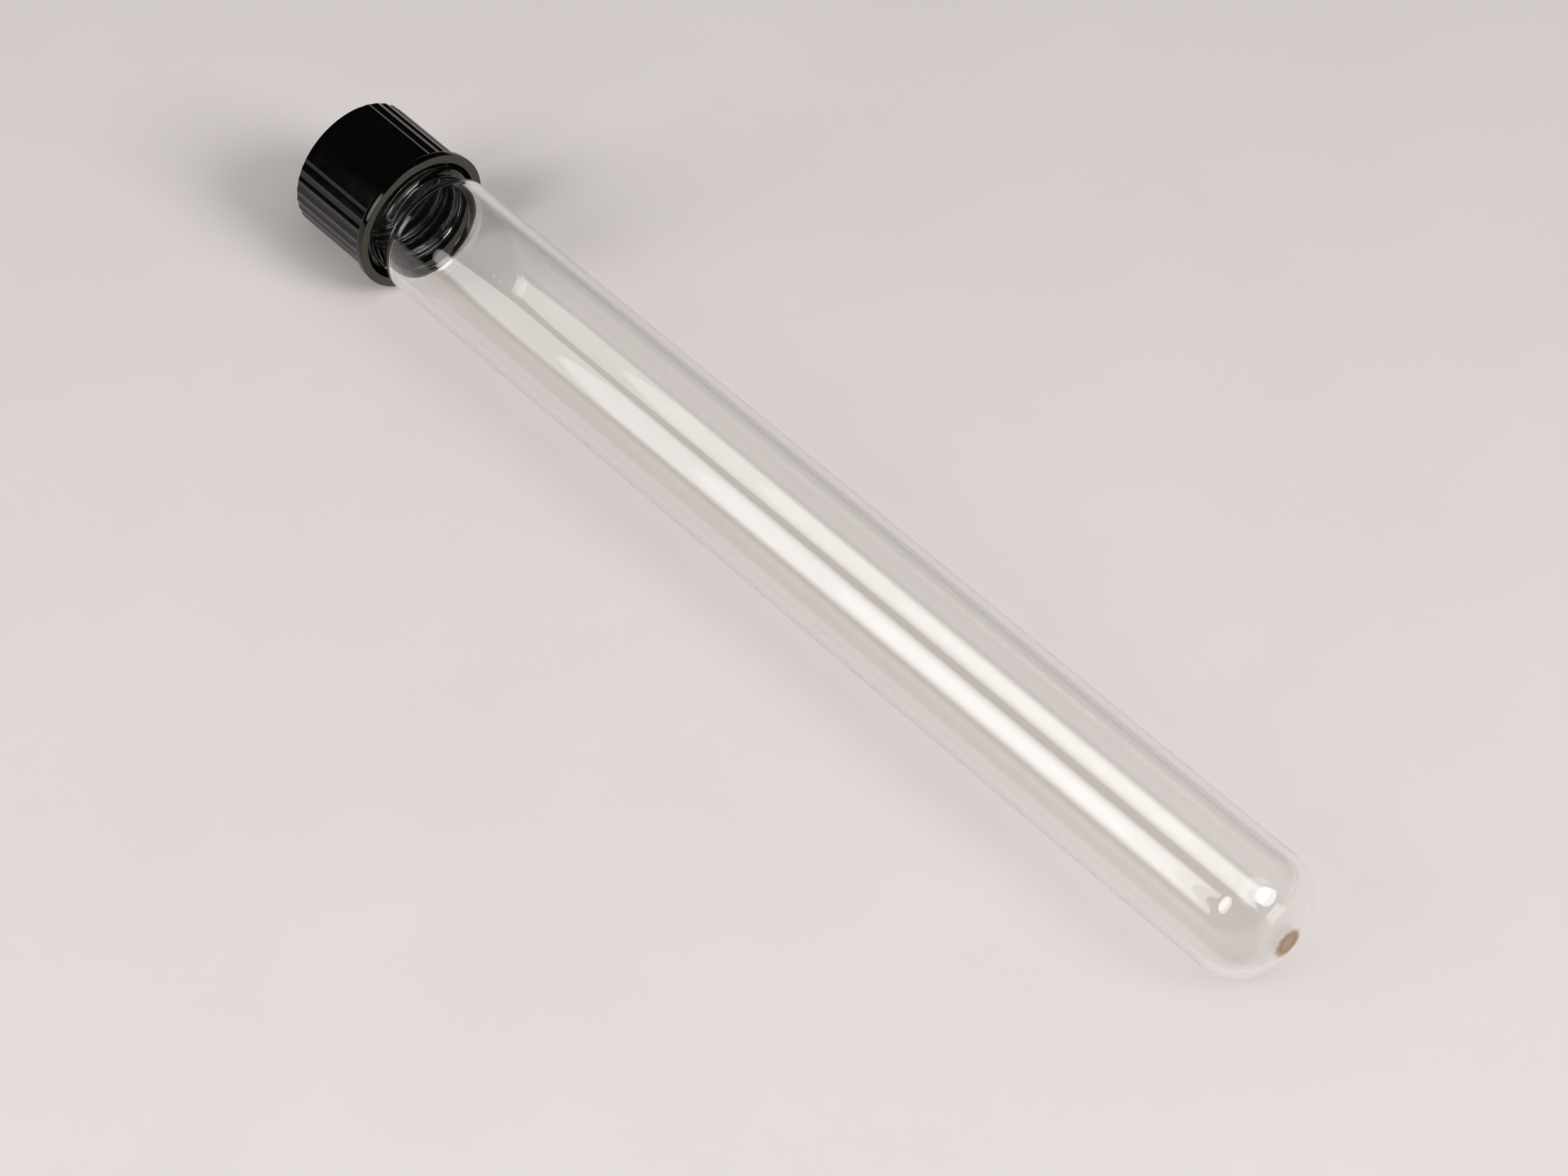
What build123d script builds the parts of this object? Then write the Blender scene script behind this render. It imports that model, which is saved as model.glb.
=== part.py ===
"""Screw-cap culture tube, 18 x 180 mm, lying on its side with the cap screwed down.

Frame: the tube's axis runs along +X, from the cap to the round bottom. +Z is up.
The origin is under the middle of the closed tube, on the surface that the cap's flange touches.
"""

import os
from math import cos, radians, sin, sqrt

from build123d import *

# Glass tube
tube_length = 180.0
tube_radius = 9.0
glass_wall = 1.2
neck_radius = 7.9
neck_length = 14.3
shoulder_length = 1.5
knuckle_radius = 6.6
crown_radius = 18.0
seal_mark_radius = 1.8
bottom_wall = 1.5

# Thread of the glass neck, and the matching thread inside the cap
thread_pitch = 3.175
glass_thread_start = 2.85
glass_thread_turns = 3.13
glass_bead_radius = 0.85
glass_bead_centre = 7.8
cap_thread_turns = 1.85
cap_bead_radius = 0.65
cap_bead_centre = 9.0

# Screw cap
cap_height = 15.0
cap_top_wall = 1.5
cap_body_radius = 9.95
cap_bore_radius = 8.95
cap_edge_fillet = 0.2
flange_radius = 10.55
flange_height = 1.25
flange_edge_fillet = 0.4
rim_relief_radius = 9.25
rim_relief_depth = 0.9
flute_depth = 0.16
flute_width = 1.6
flute_pitch = 10.0
flute_groups = 3
flutes_per_group = 6
flute_group_start = 51.8

# Rubber liner between the lip and the cap's top
liner_radius = 8.8
liner_thickness = 1.45
seat_gap = 0.05

# Places along the axis, worked out from the sizes above
lip_to_cap_top = cap_top_wall + liner_thickness + seat_gap
closed_length = tube_length + lip_to_cap_top
cap_top_x = -closed_length / 2
lip_x = cap_top_x + lip_to_cap_top
axis_height = flange_radius

tube_axis = Axis((0, 0, axis_height), (1, 0, 0))


def profile_plane(start_x, angle=0.0):
    """Half plane through the tube's axis: x runs along the axis from start_x, y points outwards.

    The angle turns it about the axis, from straight up towards -Y.
    """
    outwards = Vector(0, -sin(radians(angle)), cos(radians(angle)))
    along = Vector(1, 0, 0)
    return Plane(Vector(start_x, 0, axis_height), x_dir=along, z_dir=along.cross(outwards))


def round_bottom(radius, knuckle, crown):
    """Start of the knuckle arc, and the point where it meets the crown arc, on a round bottom.

    Distances along the axis are measured back from the crown's top.
    """
    lean = (radius - knuckle) / (crown - knuckle)
    knuckle_back = crown - (crown - knuckle) * sqrt(1 - lean**2)
    meet_back = crown - crown * sqrt(1 - lean**2)
    return knuckle_back, meet_back, crown * lean


def draw_wall(start, radius, end, knuckle, crown):
    """Draw a straight wall and its knuckle arc, and return the point where the crown arc begins."""
    knuckle_back, meet_back, meet_radius = round_bottom(radius, knuckle, crown)
    straight_end = end - knuckle_back
    meet = (end - meet_back, meet_radius)
    Line((start, radius), (straight_end, radius))
    RadiusArc((straight_end, radius), meet, knuckle)
    return meet


# The glass tube is drawn from the lip, where x is 0, to the tip.
inner_radius = tube_radius - glass_wall
neck_inner_radius = neck_radius - glass_wall
lip_round = glass_wall / 2
shoulder_end = neck_length + shoulder_length
seal_back = crown_radius - sqrt(crown_radius**2 - seal_mark_radius**2)
crown_top = tube_length + seal_back
inner_end = tube_length - bottom_wall

with BuildPart() as glass_tube:
    with BuildSketch(profile_plane(lip_x)):
        with BuildLine():
            Line((lip_round, neck_radius), (neck_length, neck_radius))
            Spline(
                (neck_length, neck_radius),
                (shoulder_end, tube_radius),
                tangents=((1, 0), (1, 0)),
            )
            outer_meet = draw_wall(
                shoulder_end, tube_radius, crown_top, knuckle_radius, crown_radius
            )
            RadiusArc(outer_meet, (tube_length, seal_mark_radius), crown_radius)
            Line((tube_length, seal_mark_radius), (tube_length, 0))
            Line((tube_length, 0), (inner_end, 0))
            inner_meet = draw_wall(
                shoulder_end, inner_radius, inner_end, knuckle_radius - glass_wall, crown_radius
            )
            RadiusArc(inner_meet, (inner_end, 0), crown_radius)
            Spline(
                (neck_length, neck_inner_radius),
                (shoulder_end, inner_radius),
                tangents=((1, 0), (1, 0)),
            )
            Line((neck_length, neck_inner_radius), (lip_round, neck_inner_radius))
            ThreePointArc(
                (lip_round, neck_inner_radius),
                (0, neck_radius - lip_round),
                (lip_round, neck_radius),
            )
        make_face()
    revolve(axis=tube_axis)
    # Rounded thread bead, with a round end at each end of the helix
    with BuildLine() as glass_helix:
        Helix(
            thread_pitch,
            glass_thread_turns * thread_pitch,
            glass_bead_centre,
            center=(lip_x + glass_thread_start, 0, axis_height),
            direction=(1, 0, 0),
        )
    with BuildSketch(Plane(glass_helix.line @ 0, z_dir=glass_helix.line % 0)):
        Circle(glass_bead_radius)
    sweep(path=glass_helix.line, is_frenet=True)
    with Locations(glass_helix.line @ 0, glass_helix.line @ 1):
        Sphere(glass_bead_radius)
glass_tube.part.label = "glass_tube"


# The cap is drawn from its top, where x is 0, to its open rim.
edge_start = cap_body_radius - cap_edge_fillet
flange_start = cap_height - flange_height
flange_corner = flange_radius - flange_edge_fillet
flute_half = flute_width / 2
flute_rise = sqrt(cap_body_radius**2 - flute_half**2) - (cap_body_radius - flute_depth)
flute_radius = (flute_half**2 + flute_rise**2) / (2 * flute_rise)
flute_centre = cap_body_radius - flute_depth + flute_radius

with BuildPart() as screw_cap:
    with BuildSketch(profile_plane(cap_top_x)):
        with BuildLine():
            Line((0, 0), (0, edge_start))
            RadiusArc((0, edge_start), (cap_edge_fillet, cap_body_radius), cap_edge_fillet)
            Polyline(
                (cap_edge_fillet, cap_body_radius),
                (flange_start, cap_body_radius),
                (flange_start, flange_corner),
            )
            RadiusArc(
                (flange_start, flange_corner),
                (flange_start + flange_edge_fillet, flange_radius),
                flange_edge_fillet,
            )
            Polyline(
                (flange_start + flange_edge_fillet, flange_radius),
                (cap_height, flange_radius),
                (cap_height, rim_relief_radius),
                (cap_height - rim_relief_depth, rim_relief_radius),
                (cap_height - 2 * rim_relief_depth, cap_bore_radius),
                (cap_top_wall, cap_bore_radius),
                (cap_top_wall, 0),
                (0, 0),
            )
        make_face()
    revolve(axis=tube_axis)
    # Shallow grip flutes, in groups with a smooth panel between them. They end at the flange.
    with BuildSketch(Plane.YZ.offset(cap_top_x)):
        with Locations((0, axis_height)):
            for group in range(flute_groups):
                first = 90 + flute_group_start + group * 360 / flute_groups + flute_pitch / 2
                with PolarLocations(
                    flute_centre,
                    flutes_per_group,
                    start_angle=first,
                    angular_range=(flutes_per_group - 1) * flute_pitch,
                    endpoint=True,
                ):
                    Circle(flute_radius)
    extrude(amount=flange_start, mode=Mode.SUBTRACT)
    # Thread bead inside the skirt, half a pitch below the glass thread
    with BuildLine() as cap_helix:
        Helix(
            thread_pitch,
            cap_thread_turns * thread_pitch,
            cap_bead_centre,
            center=(lip_x + glass_thread_start + thread_pitch / 2, 0, axis_height),
            direction=(1, 0, 0),
        )
    with BuildSketch(Plane(cap_helix.line @ 0, z_dir=cap_helix.line % 0)):
        Circle(cap_bead_radius)
    sweep(path=cap_helix.line, is_frenet=True)
    with Locations(cap_helix.line @ 0, cap_helix.line @ 1):
        Sphere(cap_bead_radius)
screw_cap.part.label = "screw_cap"


with BuildPart() as liner_disc:
    with BuildSketch(Plane.YZ.offset(cap_top_x + cap_top_wall)):
        with Locations((0, axis_height)):
            Circle(liner_radius)
    extrude(amount=liner_thickness)
liner_disc.part.label = "liner_disc"


os.makedirs("parts", exist_ok=True)
for piece in (glass_tube, screw_cap, liner_disc):
    export_step(piece.part, f"parts/{piece.part.label}.step")
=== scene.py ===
"""Looks of the screw-cap culture tube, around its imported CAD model. Metres, in the CAD frame.

The tube's axis runs along +X from the cap to the round bottom, and +Z is up.
"""

from math import asin, cos, degrees, pi, radians, sin, sqrt

import bpy
import numpy as np
from mathutils import Matrix, Vector


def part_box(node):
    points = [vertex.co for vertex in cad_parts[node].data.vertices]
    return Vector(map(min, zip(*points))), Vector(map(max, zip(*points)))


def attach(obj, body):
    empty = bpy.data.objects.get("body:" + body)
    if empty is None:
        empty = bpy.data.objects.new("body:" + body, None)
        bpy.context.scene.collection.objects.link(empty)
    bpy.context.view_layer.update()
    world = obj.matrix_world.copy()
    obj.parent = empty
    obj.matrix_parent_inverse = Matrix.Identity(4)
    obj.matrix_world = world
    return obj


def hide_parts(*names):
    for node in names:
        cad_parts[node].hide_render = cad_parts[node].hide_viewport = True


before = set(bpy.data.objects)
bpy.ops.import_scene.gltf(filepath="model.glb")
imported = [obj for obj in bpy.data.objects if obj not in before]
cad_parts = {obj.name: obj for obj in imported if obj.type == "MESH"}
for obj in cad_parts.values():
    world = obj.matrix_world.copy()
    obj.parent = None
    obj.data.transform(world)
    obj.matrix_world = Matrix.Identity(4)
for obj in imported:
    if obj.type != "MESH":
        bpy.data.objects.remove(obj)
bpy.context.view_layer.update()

MM = 0.001
SAME_PLACE = 1e-7

# Places that the CAD model gives
glass_low, glass_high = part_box("glass_tube")
cap_low, cap_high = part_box("screw_cap")
liner_low, liner_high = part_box("liner_disc")
AXIS_Z = (glass_low[2] + glass_high[2]) / 2
TUBE_RADIUS = (glass_high[2] - glass_low[2]) / 2
LIP_X = glass_low[0]
TIP_X = glass_high[0]
CAP_TOP_X = cap_low[0]
RIM_X = cap_high[0]
FLANGE_RADIUS = (cap_high[2] - cap_low[2]) / 2
LINER_RADIUS = (liner_high[2] - liner_low[2]) / 2

# Sizes of the glass that the boxes don't show, as in the CAD model
WALL = 1.2 * MM
NECK_RADIUS = 7.9 * MM
NECK_LENGTH = 14.3 * MM
SHOULDER_LENGTH = 1.5 * MM
KNUCKLE_RADIUS = 6.6 * MM
CROWN_RADIUS = 18.0 * MM
SEAL_MARK_RADIUS = 1.8 * MM
BOTTOM_WALL = 1.5 * MM
PITCH = 3.175 * MM
THREAD_START_X = LIP_X + 2.85 * MM
GLASS_TURNS = 3.13
GLASS_BEAD = 0.85 * MM
GLASS_BEAD_CENTRE = 7.8 * MM

# Sizes of the cap, as in the CAD model
CAP_TOP_WALL = 1.5 * MM
BODY_RADIUS = 9.95 * MM
BORE_RADIUS = 8.95 * MM
EDGE_FILLET = 0.2 * MM
FLANGE_HEIGHT = 1.25 * MM
FLANGE_FILLET = 0.4 * MM
RELIEF_RADIUS = 9.25 * MM
RELIEF_DEPTH = 0.9 * MM
CAP_TURNS = 1.85
CAP_BEAD = 0.65 * MM
CAP_BEAD_CENTRE = 9.0 * MM
FLUTE_DEPTH = 0.16 * MM
FLUTE_WIDTH = 1.6 * MM
FLUTE_PITCH = 10.0
FLUTE_GROUPS = 3
FLUTES_PER_GROUP = 6
FLUTE_START = 51.8

# How finely the meshes follow those sizes
GLASS_COLUMNS = 432
LINER_COLUMNS = 96
GLASS_THREAD_ROWS = 120
CAP_THREAD_ROWS = 110
FLUTE_STEPS = 12
PANEL_STEPS = 24

# What the camera and the lamps look at
TARGET = Vector((0.0073, -0.0075, AXIS_Z))

LAMP_COLOUR = (1.0, 0.985, 0.97)
ROOM_COLOUR = (1.0, 0.97, 0.95, 1.0)

# Round lamps: azimuth and elevation in degrees, distance, width and length, radiance
ROUND_LAMPS = {
    "right_lamp": (105.4, 38.6, 1.0, (0.50, 0.50), 8.6),
    "front_lamp": (0.0, 42.0, 1.0, (0.50, 0.40), 6.1),
    "top_lamp": (90.0, 65.0, 1.3, (1.3, 1.3), 1.35),
}

# Nested lamps of the soft panel: share of its radiance and of its width, and where each starts and
# ends along its length
PANEL_LAYERS = (
    (0.42, 1.10, 0.00, 1.00),
    (0.25, 0.90, 0.17, 0.96),
    (0.18, 0.70, 0.33, 0.91),
    (0.15, 0.50, 0.50, 0.85),
)


# ---------------------------------------------------------------- mesh helpers


def arc(centre_x, centre_r, radius, start, end, steps):
    """Points (x, r) of an arc in the half plane through the axis. Angles in degrees, 0 towards +X."""
    angles = [radians(start + (end - start) * i / steps) for i in range(steps + 1)]
    return [(centre_x + radius * cos(a), centre_r + radius * sin(a)) for a in angles]


def span(start, end, steps):
    """Evenly spaced points (x, r) from start to end, both ends included."""
    (start_x, start_r), (end_x, end_r) = start, end
    shares = [i / steps for i in range(steps + 1)]
    return [(start_x + (end_x - start_x) * t, start_r + (end_r - start_r) * t) for t in shares]


def full_circle(columns):
    """Evenly spaced angles all round."""
    return [2 * pi * i / columns for i in range(columns)]


def smooth_step(value):
    """0 below 0, 1 above 1, and a smooth rise between."""
    value = np.clip(value, 0.0, 1.0)
    return value * value * (3.0 - 2.0 * value)


def join_rows(*stretches):
    """One list of rows (x, r) from several, with repeated points left out."""
    rows = []
    for stretch in stretches:
        for x, r in stretch:
            if not rows or abs(x - rows[-1][0]) + abs(r - rows[-1][1]) > SAME_PLACE:
                rows.append((x, r))
    return rows


def thread_height(x, angle, start_x, turns, bead, reach):
    """Height of a helical bead over the wall, at places (x, angle) on that wall.

    bead is the radius of its section, and reach is how far its crest stands off the wall.
    Its ends are round, and its root blends into the wall.
    """
    best = np.full(angle.shape, -1.0)
    turn = angle / (2 * pi)
    for whole in range(-1, int(turns) + 2):
        place = turn + whole
        held = np.clip(place, 0.0, turns)
        along = x - (start_x + PITCH * held)
        around = (place - held) * 2 * pi * NECK_RADIUS
        away = along**2 + around**2
        on_bead = reach - bead + np.sqrt(np.maximum(bead**2 - away, 0.0))
        off_bead = reach - np.sqrt(away)
        best = np.maximum(best, np.where(away > bead**2, off_bead, on_bead))
    blend = 0.12 * MM
    sink = 0.02 * MM
    return np.maximum((best + np.sqrt(best**2 + blend**2)) / 2 - sink, 0.0)


def revolved(name, rows, angles, offset=None, slots=None):
    """A closed surface of revolution about the tube's axis, as a mesh object.

    rows (x, r) run from one pole to the other, both on the axis. angles run from straight up to -Y.
    offset(x, r, angles) is added to the radius of a row. slots(band) is the material slot of the
    faces between two rows.
    """
    angles = np.asarray(angles)
    count = len(angles)
    points = [(rows[0][0], 0.0, AXIS_Z)]
    for x, r in rows[1:-1]:
        radii = np.full(count, r)
        if offset is not None:
            radii = radii + offset(x, r, angles)
        for angle, radius in zip(angles, radii):
            points.append((x, -radius * sin(angle), AXIS_Z + radius * cos(angle)))
    points.append((rows[-1][0], 0.0, AXIS_Z))
    last = len(points) - 1
    faces = []
    bands = []
    rings = len(rows) - 2
    for column in range(count):
        after = (column + 1) % count
        faces.append((0, 1 + after, 1 + column))
        bands.append(0)
        for ring in range(rings - 1):
            near = 1 + ring * count
            far = near + count
            faces.append((near + column, near + after, far + after, far + column))
            bands.append(ring + 1)
        near = 1 + (rings - 1) * count
        faces.append((near + column, near + after, last))
        bands.append(rings)
    mesh = bpy.data.meshes.new(name)
    mesh.from_pydata(points, [], faces)
    mesh.validate()
    mesh.polygons.foreach_set("use_smooth", [True] * len(mesh.polygons))
    if slots is not None:
        mesh.polygons.foreach_set("material_index", [slots(band) for band in bands])
    mesh.update()
    obj = bpy.data.objects.new(name, mesh)
    bpy.context.scene.collection.objects.link(obj)
    return obj


# ---------------------------------------------------------------- glass tube


def bottom_rows(radius, knuckle, end_x, flat):
    """Rows of a round bottom, from the edge of the flat at its apex to the straight wall."""
    lean = degrees(asin((radius - knuckle) / (CROWN_RADIUS - knuckle)))
    flat_angle = degrees(asin(flat / CROWN_RADIUS))
    crown_x = end_x - sqrt(CROWN_RADIUS**2 - flat**2)
    knuckle_x = crown_x + (CROWN_RADIUS - knuckle) * cos(radians(lean))
    crown_arc = arc(crown_x, 0.0, CROWN_RADIUS, flat_angle, lean, 8)
    knuckle_arc = arc(knuckle_x, radius - knuckle, knuckle, lean, 90.0, 28)
    return join_rows(crown_arc, knuckle_arc)


def shoulder_rows(neck, body):
    """Rows of the rounded shoulder, from the body to the neck."""
    start = LIP_X + NECK_LENGTH
    steps = 14
    rows = []
    for i in range(steps + 1):
        t = 1.0 - i / steps
        rows.append((start + SHOULDER_LENGTH * t, neck + (body - neck) * float(smooth_step(t))))
    return rows


def seal_rows():
    """Rows of the shallow dimple that the flame seal leaves at the apex."""
    return [
        (TIP_X - 0.10 * MM, 0.0),
        (TIP_X - 0.09 * MM, 0.5 * MM),
        (TIP_X - 0.05 * MM, 1.0 * MM),
        (TIP_X - 0.01 * MM, 1.45 * MM),
    ]


def make_glass():
    """The blown tube: round bottom, straight body, shoulder, threaded neck and rounded lip."""
    inner = TUBE_RADIUS - WALL
    neck_inner = NECK_RADIUS - WALL
    lip = WALL / 2
    inner_end = TIP_X - BOTTOM_WALL
    inner_flat = 0.3 * MM
    neck_start = LIP_X + NECK_LENGTH
    body_start = neck_start + SHOULDER_LENGTH
    outer_bottom = bottom_rows(TUBE_RADIUS, KNUCKLE_RADIUS, TIP_X, SEAL_MARK_RADIUS)
    inner_bottom = bottom_rows(inner, KNUCKLE_RADIUS - WALL, inner_end, inner_flat)
    rows = join_rows(
        seal_rows(),
        outer_bottom,
        span(outer_bottom[-1], (body_start, TUBE_RADIUS), 20),
        shoulder_rows(NECK_RADIUS, TUBE_RADIUS),
        span((neck_start, NECK_RADIUS), (LIP_X + lip, NECK_RADIUS), GLASS_THREAD_ROWS),
        arc(LIP_X + lip, NECK_RADIUS - lip, lip, 90, 270, 14),
        span((LIP_X + lip, neck_inner), (neck_start, neck_inner), 20),
        shoulder_rows(neck_inner, inner)[::-1],
        span((body_start, inner), inner_bottom[-1], 20),
        inner_bottom[::-1],
        [(inner_end, 0.0)],
    )
    reach = GLASS_BEAD_CENTRE + GLASS_BEAD - NECK_RADIUS

    def thread(x, r, angles):
        if abs(r - NECK_RADIUS) > SAME_PLACE or x > neck_start:
            return 0.0
        return thread_height(x, angles, THREAD_START_X, GLASS_TURNS, GLASS_BEAD, reach)

    return revolved("glass_tube_blown", rows[::-1], full_circle(GLASS_COLUMNS), thread)


# ---------------------------------------------------------------- cap


def flute_columns():
    """Angles of the cap's columns, and how far the flutes let its outside reach at each of them."""
    half = FLUTE_WIDTH / 2
    half_angle = asin(half / BODY_RADIUS)
    rise = BODY_RADIUS * cos(half_angle) - (BODY_RADIUS - FLUTE_DEPTH)
    radius = (half**2 + rise**2) / (2 * rise)
    centre = BODY_RADIUS - FLUTE_DEPTH + radius
    columns = []
    for group in range(FLUTE_GROUPS):
        group_start = FLUTE_START + group * 360 / FLUTE_GROUPS
        for flute in range(FLUTES_PER_GROUP):
            middle = radians(group_start + (flute + 0.5) * FLUTE_PITCH)
            for i in range(FLUTE_STEPS + 1):
                across = half_angle * (2 * i / FLUTE_STEPS - 1)
                reach = centre * cos(across) - sqrt(radius**2 - (centre * sin(across)) ** 2)
                columns.append((middle + across, reach))
        panel_start = group_start + FLUTES_PER_GROUP * FLUTE_PITCH
        panel_span = 360 / FLUTE_GROUPS - FLUTES_PER_GROUP * FLUTE_PITCH
        for i in range(PANEL_STEPS + 1):
            columns.append((radians(panel_start + panel_span * i / PANEL_STEPS), BODY_RADIUS))
    columns.sort()
    return columns


def make_cap():
    """The cap's moulding. Its second material slot is the rim face."""
    columns = flute_columns()
    reaches = np.array([reach for angle, reach in columns])
    flange_x = RIM_X - FLANGE_HEIGHT
    inside_x = CAP_TOP_X + CAP_TOP_WALL
    bore_end = RIM_X - 2 * RELIEF_DEPTH
    corner = 0.03 * MM
    rim_round = 0.06 * MM
    relief_round = 0.08 * MM
    inside_round = 0.2 * MM
    flange_out = FLANGE_RADIUS - FLANGE_FILLET
    edge_start = BODY_RADIUS - EDGE_FILLET
    outside = join_rows(
        span((CAP_TOP_X, 0.0), (CAP_TOP_X, edge_start), 12),
        arc(CAP_TOP_X + EDGE_FILLET, edge_start, EDGE_FILLET, 180, 90, 8),
        span((CAP_TOP_X + EDGE_FILLET, BODY_RADIUS), (flange_x - corner, BODY_RADIUS), 12),
        [(flange_x, BODY_RADIUS), (flange_x, BODY_RADIUS + corner)],
        arc(flange_x + FLANGE_FILLET, flange_out, FLANGE_FILLET, 180, 90, 8),
        arc(RIM_X - rim_round, FLANGE_RADIUS - rim_round, rim_round, 90, 0, 4),
    )
    face_start = (RIM_X, FLANGE_RADIUS - 2.2 * rim_round)
    face_end = (RIM_X, RELIEF_RADIUS + 2.2 * relief_round)
    face = join_rows(
        [outside[-1], face_start],
        span((RIM_X, FLANGE_RADIUS - 3 * rim_round), face_end, 4),
        arc(RIM_X - relief_round, RELIEF_RADIUS + relief_round, relief_round, 0, -90, 4),
    )
    bore_start = (inside_x + inside_round, BORE_RADIUS)
    rows = join_rows(
        outside,
        face,
        span((RIM_X - relief_round, RELIEF_RADIUS), (RIM_X - RELIEF_DEPTH, RELIEF_RADIUS), 3),
        span((RIM_X - RELIEF_DEPTH, RELIEF_RADIUS), (bore_end, BORE_RADIUS), 3),
        span((bore_end, BORE_RADIUS), bore_start, CAP_THREAD_ROWS),
        arc(inside_x + inside_round, BORE_RADIUS - inside_round, inside_round, 90, 180, 4),
        span((inside_x, BORE_RADIUS - inside_round), (inside_x, 0.0), 8),
    )
    first_face_band = len(outside) - 1
    last_face_band = first_face_band + len(face) - 4
    bead_reach = BORE_RADIUS - (CAP_BEAD_CENTRE - CAP_BEAD)
    bead_start_x = THREAD_START_X + PITCH / 2
    flutes_from = LINER_RADIUS + 0.5 * MM

    def flutes_and_thread(x, r, angles):
        on_body = x < flange_x + SAME_PLACE and flutes_from < r < BODY_RADIUS + SAME_PLACE
        if on_body:
            return np.minimum(reaches - r, 0.0)
        if abs(r - BORE_RADIUS) < SAME_PLACE:
            return -thread_height(x, angles, bead_start_x, CAP_TURNS, CAP_BEAD, bead_reach)
        return 0.0

    def slots(band):
        return 1 if first_face_band <= band <= last_face_band else 0

    angles = [angle for angle, reach in columns]
    return revolved("screw_cap_moulding", rows, angles, flutes_and_thread, slots)


def make_liner():
    """The rubber disc, with its edges slightly rounded."""
    low, high = liner_low[0], liner_high[0]
    edge = 0.12 * MM
    flat = LINER_RADIUS - edge
    rows = join_rows(
        span((low, 0.0), (low, flat), 6),
        arc(low + edge, flat, edge, 180, 90, 4),
        arc(high - edge, flat, edge, 90, 0, 4),
        span((high, flat), (high, 0.0), 6),
    )
    return revolved("liner_rubber", rows, full_circle(LINER_COLUMNS))


# ---------------------------------------------------------------- materials


def new_material(name):
    """A new material, with its nodes, its links and its Principled shader."""
    material = bpy.data.materials.new(name)
    material.use_nodes = True
    nodes = material.node_tree.nodes
    links = material.node_tree.links
    return material, nodes, links, nodes["Principled BSDF"]


def add_noise(nodes, links, coordinates, scale, detail, roughness=0.5):
    """Noise in the object's own coordinates."""
    noise = nodes.new("ShaderNodeTexNoise")
    noise.inputs["Scale"].default_value = scale
    noise.inputs["Detail"].default_value = detail
    noise.inputs["Roughness"].default_value = roughness
    links.new(coordinates.outputs["Object"], noise.inputs["Vector"])
    return noise


def add_range(nodes, links, value, from_min, from_max, to_min, to_max):
    """A value taken from one range to another, and held within it."""
    remap = nodes.new("ShaderNodeMapRange")
    remap.inputs["From Min"].default_value = from_min
    remap.inputs["From Max"].default_value = from_max
    remap.inputs["To Min"].default_value = to_min
    remap.inputs["To Max"].default_value = to_max
    links.new(value, remap.inputs["Value"])
    return remap


def add_ramp(nodes, links, value, stops):
    """Colours by a value. stops are (position, colour)."""
    ramp = nodes.new("ShaderNodeValToRGB")
    elements = ramp.color_ramp.elements
    while len(elements) < len(stops):
        elements.new(0.5)
    for element, (position, colour) in zip(elements, stops):
        element.position = position
        element.color = (*colour, 1.0)
    links.new(value, ramp.inputs["Fac"])
    return ramp


def add_math(nodes, links, operation, first, second):
    """A Math node between two values."""
    result = nodes.new("ShaderNodeMath")
    result.operation = operation
    links.new(first, result.inputs[0])
    links.new(second, result.inputs[1])
    return result


def add_bump(nodes, links, shader, noise, strength, distance):
    """Fine relief of a shader, from a noise."""
    bump = nodes.new("ShaderNodeBump")
    bump.inputs["Strength"].default_value = strength
    bump.inputs["Distance"].default_value = distance
    links.new(noise.outputs["Fac"], bump.inputs["Height"])
    links.new(bump.outputs["Normal"], shader.inputs["Normal"])


def vary_colour(nodes, links, shader, noise, stops):
    """Colour of a shader, varied by a noise."""
    colour = add_ramp(nodes, links, noise.outputs["Fac"], stops)
    links.new(colour.outputs["Color"], shader.inputs["Base Color"])


def vary_roughness(nodes, links, shader, noise, smooth, rough):
    """Roughness of a shader, varied by a noise."""
    roughness = add_range(nodes, links, noise.outputs["Fac"], 0.3, 0.7, smooth, rough)
    links.new(roughness.outputs["Result"], shader.inputs["Roughness"])


def add_seal_mark(nodes, links, shader, coordinates):
    """Clear glass colour, with the amber mark of the flame seal at the apex of the round bottom."""
    from_apex = nodes.new("ShaderNodeVectorMath")
    from_apex.operation = "SUBTRACT"
    from_apex.inputs[1].default_value = (TIP_X - 0.1 * MM, 0.0, AXIS_Z)
    links.new(coordinates.outputs["Object"], from_apex.inputs[0])
    # distance along the axis counts three times, which keeps the mark off the inner surface
    stretched = nodes.new("ShaderNodeVectorMath")
    stretched.operation = "MULTIPLY"
    stretched.inputs[1].default_value = (3.0, 1.0, 1.0)
    links.new(from_apex.outputs["Vector"], stretched.inputs[0])
    distance = nodes.new("ShaderNodeVectorMath")
    distance.operation = "LENGTH"
    links.new(stretched.outputs["Vector"], distance.inputs[0])
    noise = add_noise(nodes, links, coordinates, 900.0, 3.0)
    wobble = add_range(nodes, links, noise.outputs["Fac"], 0.3, 0.7, -0.2 * MM, 0.2 * MM)
    uneven = add_math(nodes, links, "ADD", distance.outputs["Value"], wobble.outputs["Result"])
    share = add_range(nodes, links, uneven.outputs["Value"], 0.0, 3.0 * MM, 0.0, 1.0)
    stops = [
        (0.0, (0.34, 0.19, 0.08)),
        (0.48, (0.15, 0.06, 0.018)),
        (0.64, (0.46, 0.28, 0.14)),
        (0.78, (0.985, 0.985, 0.975)),
    ]
    tint = add_ramp(nodes, links, share.outputs["Result"], stops)
    links.new(tint.outputs["Color"], shader.inputs["Base Color"])


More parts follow.
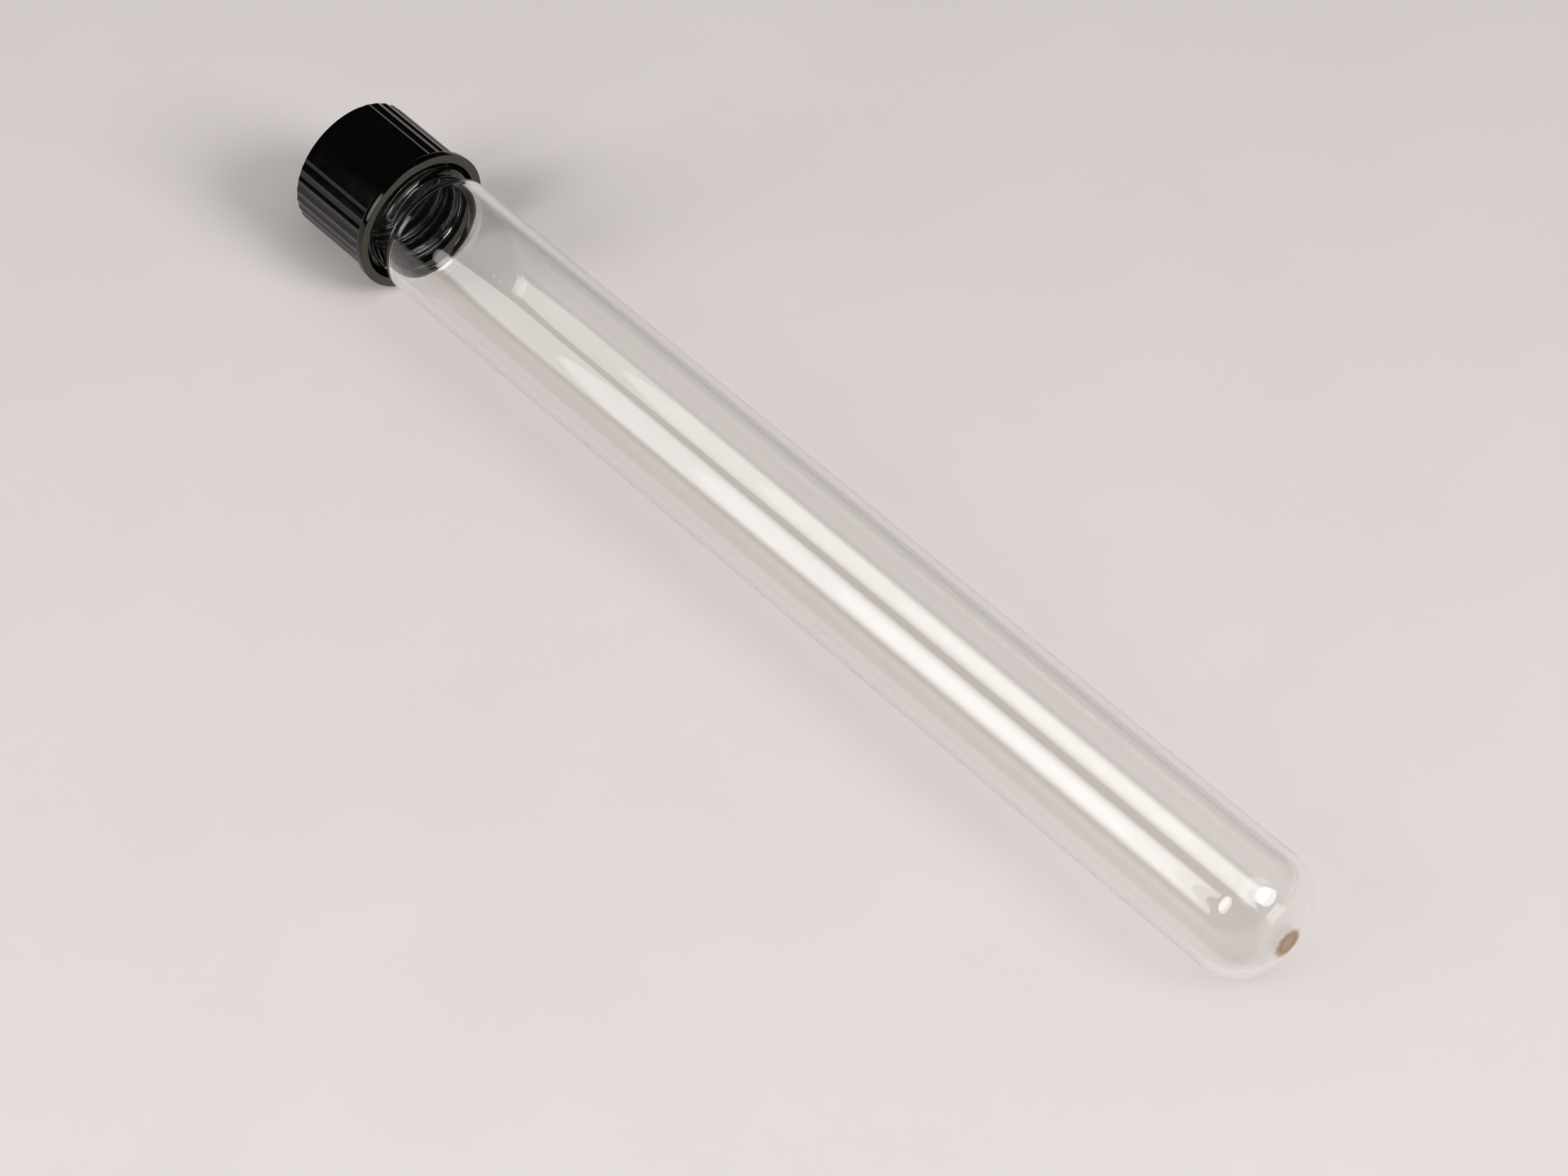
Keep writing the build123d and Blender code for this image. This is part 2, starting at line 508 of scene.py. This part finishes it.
def let_light_through(nodes, links, shader):
    """Lets light through the walls to the floor, dimmer where it meets them at a slant.

    Shadow rays and diffuse rays meet a clear surface, and all others meet the glass shader.
    """
    slant = nodes.new("ShaderNodeLayerWeight")
    slant.inputs["Blend"].default_value = 0.5
    stops = [(0.35, (0.98, 0.978, 0.973)), (0.95, (0.80, 0.79, 0.78))]
    dimmed = add_ramp(nodes, links, slant.outputs["Facing"], stops)
    clear = nodes.new("ShaderNodeBsdfTransparent")
    links.new(dimmed.outputs["Color"], clear.inputs["Color"])
    path = nodes.new("ShaderNodeLightPath")
    is_shadow = path.outputs["Is Shadow Ray"]
    is_diffuse = path.outputs["Is Diffuse Ray"]
    lighting = add_math(nodes, links, "MAXIMUM", is_shadow, is_diffuse)
    mix = nodes.new("ShaderNodeMixShader")
    links.new(lighting.outputs["Value"], mix.inputs["Fac"])
    links.new(shader.outputs["BSDF"], mix.inputs[1])
    links.new(clear.outputs["BSDF"], mix.inputs[2])
    links.new(mix.outputs["Shader"], nodes["Material Output"].inputs["Surface"])


def glass_material():
    """Clear glass with a faint handling haze."""
    material, nodes, links, shader = new_material("clear_borosilicate_glass")
    coordinates = nodes.new("ShaderNodeTexCoord")
    shader.inputs["Transmission Weight"].default_value = 1.0
    shader.inputs["IOR"].default_value = 1.474
    add_seal_mark(nodes, links, shader, coordinates)
    haze = add_noise(nodes, links, coordinates, 60.0, 6.0, 0.6)
    roughness = add_range(nodes, links, haze.outputs["Fac"], 0.45, 0.8, 0.0, 0.02)
    links.new(roughness.outputs["Result"], shader.inputs["Roughness"])
    let_light_through(nodes, links, shader)
    return material


def phenolic_material():
    """Glossy black of the cap's moulding."""
    material, nodes, links, shader = new_material("black_phenolic")
    coordinates = nodes.new("ShaderNodeTexCoord")
    shader.inputs["IOR"].default_value = 1.42
    mottle = add_noise(nodes, links, coordinates, 420.0, 5.0, 0.6)
    stops = [(0.35, (0.0010, 0.0010, 0.0011)), (0.7, (0.0020, 0.0019, 0.0018))]
    vary_colour(nodes, links, shader, mottle, stops)
    vary_roughness(nodes, links, shader, mottle, 0.05, 0.09)
    grain = add_noise(nodes, links, coordinates, 2600.0, 3.0)
    add_bump(nodes, links, shader, grain, 0.04, 0.02 * MM)
    return material


def rim_material():
    """Matt olive grey of the cap's rim face."""
    material, nodes, links, shader = new_material("olive_grey_rim_face")
    coordinates = nodes.new("ShaderNodeTexCoord")
    grain = add_noise(nodes, links, coordinates, 1500.0, 6.0, 0.65)
    stops = [(0.3, (0.030, 0.028, 0.018)), (0.75, (0.052, 0.049, 0.034))]
    vary_colour(nodes, links, shader, grain, stops)
    vary_roughness(nodes, links, shader, grain, 0.5, 0.7)
    add_bump(nodes, links, shader, grain, 0.3, 0.05 * MM)
    return material


def rubber_material():
    """Matt black of the liner."""
    material, nodes, links, shader = new_material("black_rubber")
    coordinates = nodes.new("ShaderNodeTexCoord")
    grain = add_noise(nodes, links, coordinates, 1200.0, 5.0, 0.6)
    stops = [(0.3, (0.010, 0.010, 0.010)), (0.7, (0.022, 0.021, 0.020))]
    vary_colour(nodes, links, shader, grain, stops)
    vary_roughness(nodes, links, shader, grain, 0.45, 0.65)
    add_bump(nodes, links, shader, grain, 0.25, 0.05 * MM)
    return material


def floor_material():
    """Pale warm board, faintly mottled and fibrous."""
    material, nodes, links, shader = new_material("pale_warm_board")
    coordinates = nodes.new("ShaderNodeTexCoord")
    shader.inputs["Roughness"].default_value = 0.7
    shader.inputs["Specular IOR Level"].default_value = 0.2
    mottle = add_noise(nodes, links, coordinates, 25.0, 8.0, 0.6)
    stops = [(0.3, (0.805, 0.757, 0.752)), (0.7, (0.83, 0.782, 0.777))]
    vary_colour(nodes, links, shader, mottle, stops)
    fibre = add_noise(nodes, links, coordinates, 900.0, 4.0)
    add_bump(nodes, links, shader, fibre, 0.08, 0.1 * MM)
    return material


# ---------------------------------------------------------------- stage, lights and camera


def make_floor():
    """A pale board that touches both the flange and the body by the round bottom."""
    size = 3.0
    flange_contact = RIM_X - FLANGE_HEIGHT / 2
    body_contact = TIP_X - KNUCKLE_RADIUS
    slope = (FLANGE_RADIUS - TUBE_RADIUS) / (body_contact - flange_contact)
    corners = []
    for x, y in ((-size, -size), (size, -size), (size, size), (-size, size)):
        corners.append((x, y, cap_low[2] + slope * (x - flange_contact)))
    mesh = bpy.data.meshes.new("floor")
    mesh.from_pydata(corners, [], [(0, 1, 2, 3)])
    mesh.update()
    floor_obj = bpy.data.objects.new("floor", mesh)
    bpy.context.scene.collection.objects.link(floor_obj)
    floor_obj.data.materials.append(floor_material())


def direction(azimuth, elevation):
    """Unit vector towards a place seen from the object. Azimuth 0 is -Y, and 90 is +X."""
    a = radians(azimuth)
    e = radians(elevation)
    return Vector((sin(a) * cos(e), -cos(a) * cos(e), sin(e)))


def add_lamp(name, place, size, radiance, shape):
    """A lamp that looks at the target, its width across the tube. radiance is what its face shows."""
    light = bpy.data.lights.new(name, "AREA")
    light.shape = shape
    light.size, light.size_y = size
    light.color = LAMP_COLOUR
    filled = pi / 4 if shape == "ELLIPSE" else 1.0
    light.energy = radiance * pi * (size[0] * size[1] * filled)
    lamp = bpy.data.objects.new(name, light)
    backward = (place - TARGET).normalized()
    across = backward.cross(Vector((1, 0, 0))).normalized()
    along = backward.cross(across)
    turn = Matrix((across, along, backward)).transposed()
    lamp.matrix_world = Matrix.Translation(place) @ turn.to_4x4()
    bpy.context.scene.collection.objects.link(lamp)


def add_soft_panel(azimuth, elevation, distance, width, length, radiance):
    """A panel low to the front left, brightest towards the round bottom. Nested lamps soften it."""
    backward = direction(azimuth, elevation)
    middle = TARGET + backward * distance
    along = (Vector((1, 0, 0)) - backward * backward.x).normalized()
    for number, (share, across, start, end) in enumerate(PANEL_LAYERS):
        place = middle + along * length * ((start + end) / 2 - 0.5)
        size = (width * across, length * (end - start))
        add_lamp(f"left_panel_{number}", place, size, radiance * share, "RECTANGLE")


def add_round_lamps():
    """The lamps to the right, in front and above."""
    for name, (azimuth, elevation, distance, size, radiance) in ROUND_LAMPS.items():
        add_lamp(name, TARGET + direction(azimuth, elevation) * distance, size, radiance, "ELLIPSE")


def add_world(strength):
    """The faint light of the room."""
    world = bpy.data.worlds.new("dim_room")
    world.use_nodes = True
    background = world.node_tree.nodes["Background"]
    background.inputs["Color"].default_value = ROOM_COLOUR
    background.inputs["Strength"].default_value = strength
    bpy.context.scene.world = world


def add_camera(azimuth, elevation, distance, lens):
    """The photograph's viewing angle. lens is in millimetres."""
    camera_data = bpy.data.cameras.new("camera")
    camera_data.lens = lens
    camera_data.sensor_width = 36.0
    camera_data.clip_start = 0.01
    camera = bpy.data.objects.new("camera", camera_data)
    camera.location = TARGET + direction(azimuth, elevation) * distance
    camera.rotation_euler = (TARGET - camera.location).to_track_quat("-Z", "Y").to_euler()
    bpy.context.scene.collection.objects.link(camera)
    bpy.context.scene.camera = camera


# ---------------------------------------------------------------- build

glass = make_glass()
glass.data.materials.append(glass_material())
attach(glass, "tube")
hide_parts("glass_tube")

cap = make_cap()
cap.data.materials.append(phenolic_material())
cap.data.materials.append(rim_material())
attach(cap, "cap")
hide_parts("screw_cap")

liner = make_liner()
liner.data.materials.append(rubber_material())
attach(liner, "liner")
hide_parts("liner_disc")

make_floor()
add_world(strength=0.02)
add_soft_panel(azimuth=-33.2, elevation=26.2, distance=0.9, width=0.55, length=0.32, radiance=6.2)
add_round_lamps()
add_camera(azimuth=48.70, elevation=47.73, distance=0.7042, lens=125.7)
bpy.context.scene.view_settings.view_transform = "Standard"
